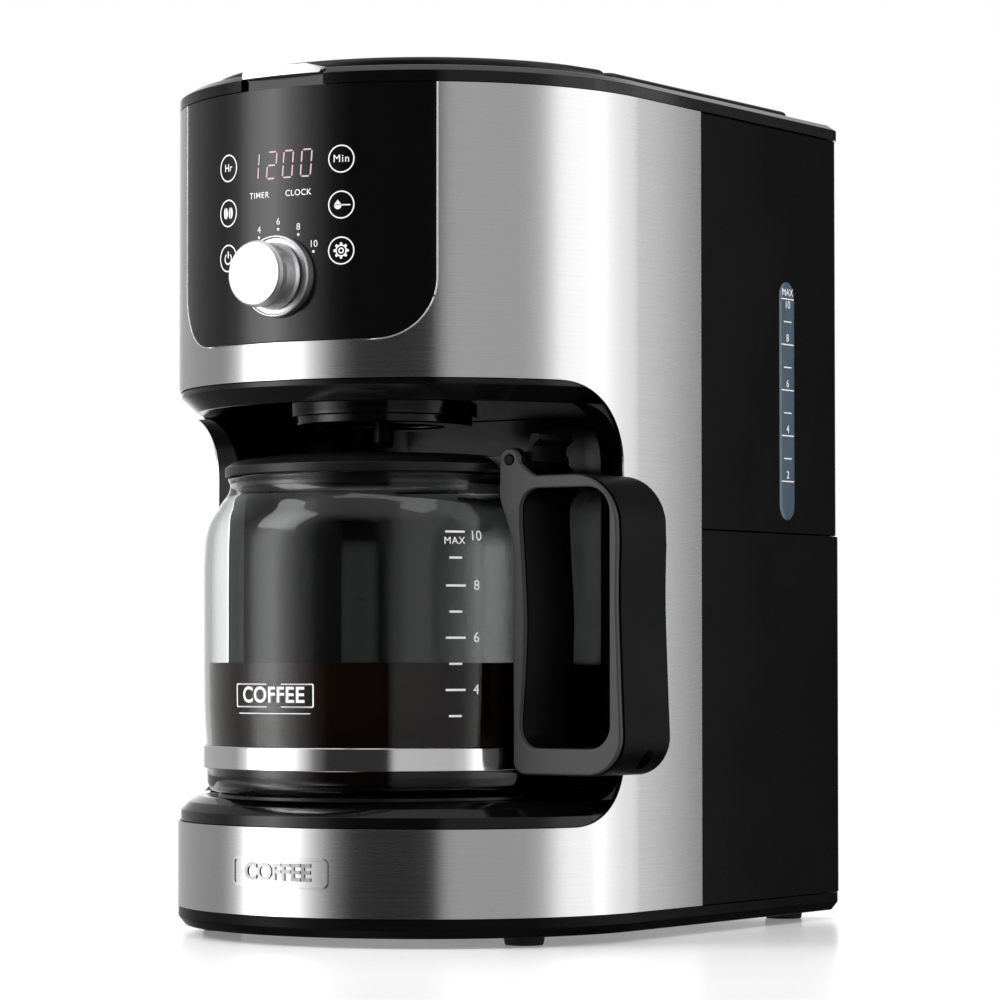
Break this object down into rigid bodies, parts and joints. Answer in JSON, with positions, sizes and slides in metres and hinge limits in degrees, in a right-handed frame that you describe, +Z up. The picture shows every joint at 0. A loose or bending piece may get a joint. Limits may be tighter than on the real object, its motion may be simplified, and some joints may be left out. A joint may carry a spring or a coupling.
{
  "type": "drip coffee maker",
  "caption": "Grind-and-brew drip coffee maker with a round steel front, black rear housing, glass carafe with loop handle, control dial, hinged lids, water tank and grinder.",
  "frame": {"origin": "middle of the footprint on the table: halfway between the left side and the handle's outer face, and halfway between the dial's front and the back", "axes": "+Z up, front of the machine towards -Y, carafe handle towards +X"},
  "size_m": [0.222, 0.281, 0.3395],
  "materials": {
    "steel": "vertical-brushed stainless",
    "chrome": "polished",
    "satin_metal": "satin",
    "gloss_black": "gloss",
    "satin_black": "satin",
    "dark_grey": "satin",
    "smoke": "translucent smoky blue",
    "glass": "clear",
    "rubber": "matte",
    "board": "green circuit board",
    "silicone": "milky, matte"
  },
  "bodies": {
    "housing": {"steel_wrap": "steel", "badge_plate": "steel", "flow_heater": "satin_metal", "valve_spring": "satin_metal", "grinder_motor": "satin_metal", "outer_burr": "satin_metal", "dial_skirt": "satin_metal", "base_deck": "gloss_black", "bay_liner": "gloss_black", "head_floor": "gloss_black", "top_frame": "gloss_black", "control_panel": "gloss_black", "base_pan": "satin_black", "warming_plate": "satin_black", "heater_thermostat": "satin_black", "rear_cover_lower": "satin_black", "rear_cover_upper": "satin_black", "outlet_collar": "satin_black", "brew_chamber": "satin_black", "grinder_housing": "satin_black", "display_module": "satin_black", "rotary_switch": "satin_black", "level_window": "smoke", "bean_hopper": "smoke", "water_tank": "smoke", "foot_front_left": "rubber", "foot_front_right": "rubber", "foot_rear_left": "rubber", "foot_rear_right": "rubber", "cord_gland": "rubber", "control_board": "board", "cold_water_hose": "silicone", "hot_water_riser": "silicone"},
    "filter_lid": {"filter_lid": "satin_black", "filter_lid_pin": "satin_metal", "lid_tab": "chrome", "spray_head": "satin_black"},
    "rear_lid": {"rear_lid": "satin_black", "rear_lid_pin": "satin_metal"},
    "filter_basket": {"brew_basket": "satin_black", "permanent_filter": "satin_metal"},
    "drip_valve": {"drip_valve": "satin_black"},
    "burr": {"inner_burr": "satin_metal", "burr_shaft": "satin_metal"},
    "dial": {"dial_knob": "satin_metal", "dial_shaft": "satin_metal"},
    "carafe": {"carafe_glass": "glass", "carafe_band": "chrome", "handle_plate": "dark_grey", "handle_grip": "satin_black", "handle_screw": "satin_metal", "lid_hinge_pin": "satin_black"},
    "carafe_lid": {"carafe_lid": "satin_black", "lid_lever": "satin_black"}
  },
  "joints": [
    {"name": "filter_lid_hinge", "type": "hinge", "parent": "housing", "child": "filter_lid", "pos_m": [-0.011, -0.0281, 0.3373], "axis": [-1, 0, 0], "range_deg": [0, 95]},
    {"name": "rear_lid_hinge", "type": "hinge", "parent": "housing", "child": "rear_lid", "pos_m": [-0.011, 0.1149, 0.3373], "axis": [-1, 0, 0], "range_deg": [0, 90]},
    {"name": "basket_lift", "type": "slide", "parent": "housing", "child": "filter_basket", "axis": [0, 0, 1], "range_m": [0, 0.06]},
    {"name": "drip_valve_travel", "type": "slide", "parent": "filter_basket", "child": "drip_valve", "axis": [0, 0, 1], "range_m": [0, 0.003], "stiffness_N_per_m": 250, "springref_m": -0.002, "deforming": ["valve_spring"]},
    {"name": "burr_spin", "type": "hinge", "parent": "housing", "child": "burr", "pos_m": [-0.011, 0.0189, 0.275], "axis": [0, 0, 1], "continuous": true},
    {"name": "dial_turn", "type": "hinge", "parent": "housing", "child": "dial", "pos_m": [-0.011, -0.1351, 0.2552], "axis": [0, 1, 0], "range_deg": [-32, 62]},
    {"name": "carafe_slide", "type": "slide", "parent": "housing", "child": "carafe", "axis": [0, -1, 0], "range_m": [0, 0.15]},
    {"name": "carafe_lid_hinge", "type": "hinge", "parent": "carafe", "child": "carafe_lid", "pos_m": [0.0604, -0.0556, 0.1853], "axis": [0, 1, 0], "range_deg": [0, 5]}
  ]
}
